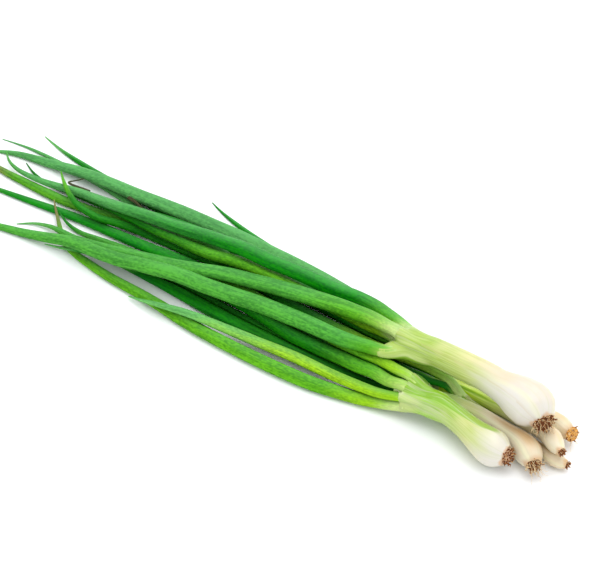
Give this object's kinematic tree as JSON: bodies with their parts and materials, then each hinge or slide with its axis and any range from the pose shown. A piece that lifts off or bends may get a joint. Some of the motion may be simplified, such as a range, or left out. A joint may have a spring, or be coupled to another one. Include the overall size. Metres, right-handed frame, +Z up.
{
  "type": "spring onion bunch",
  "caption": "Bunch of fresh spring onions lying on its side, with white bulbs, root tufts and long green hollow leaves fanning out",
  "frame": {"origin": "on the surface that the bunch lies on, under the middle of its bounding box", "axes": "+X runs along the bunch towards the bulbs and roots, +Y runs across it, +Z is up"},
  "size_m": [0.4456, 0.1052, 0.0377],
  "materials": {
    "bulb_and_stem": "moist satin skin, white at the bulb and pale green at the fork",
    "leaf": "waxy satin, fine lengthwise veins",
    "roots": "dry, matte and fibrous"
  },
  "bodies": {
    "root": {"top_bulb_and_stem": "bulb_and_stem", "top_roots": "roots", "top_leaf_1": "leaf", "top_leaf_2": "leaf", "top_leaf_3": "leaf", "top_leaf_4": "leaf", "top_leaf_5": "leaf", "front_bulb_and_stem": "bulb_and_stem", "front_roots": "roots", "front_leaf_1": "leaf", "front_leaf_2": "leaf", "front_leaf_3": "leaf", "front_leaf_4": "leaf", "middle_bulb_and_stem": "bulb_and_stem", "middle_roots": "roots", "middle_leaf_1": "leaf", "middle_leaf_2": "leaf", "right_bulb_and_stem": "bulb_and_stem", "right_roots": "roots", "right_leaf_1": "leaf", "right_leaf_2": "leaf", "under_bulb_and_stem": "bulb_and_stem", "under_roots": "roots", "under_leaf_1": "leaf", "under_leaf_2": "leaf", "back_bulb_and_stem": "bulb_and_stem", "back_roots": "roots", "back_leaf_1": "leaf", "back_leaf_2": "leaf", "back_leaf_3": "leaf", "back_leaf_4": "leaf"}
  },
  "joints": []
}
